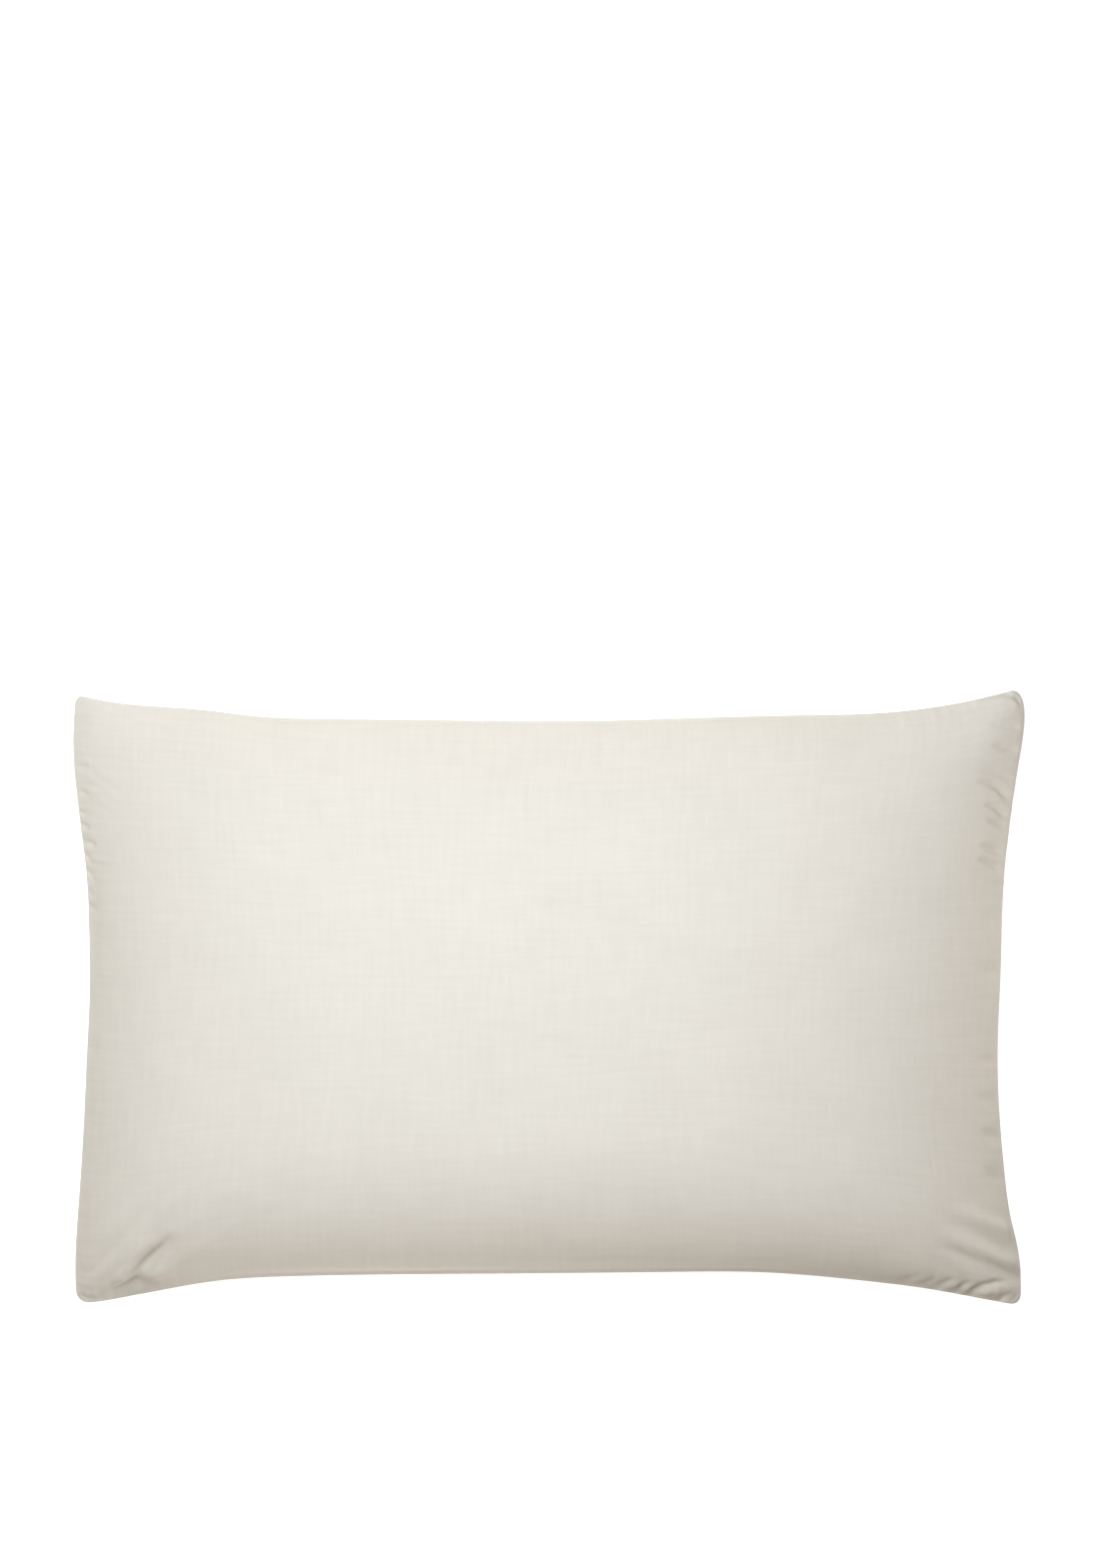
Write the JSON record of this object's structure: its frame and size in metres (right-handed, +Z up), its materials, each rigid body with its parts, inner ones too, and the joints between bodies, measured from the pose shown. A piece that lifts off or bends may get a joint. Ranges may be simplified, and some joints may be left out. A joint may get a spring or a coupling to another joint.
{
  "type": "pillowcase",
  "caption": "Plain cotton pillowcase filled by its pillow, lying on its back with its seamed edge all round.",
  "frame": {"origin": "on the surface that the pillowcase lies on, under the middle of its box", "axes": "+X along the case, +Y across it, +Z up, out of its front"},
  "size_m": [0.7372, 0.476, 0.1461],
  "materials": {
    "cotton": "plain ivory cotton with a faint slub"
  },
  "bodies": {
    "root": {"pillowcase": "cotton"}
  },
  "joints": []
}
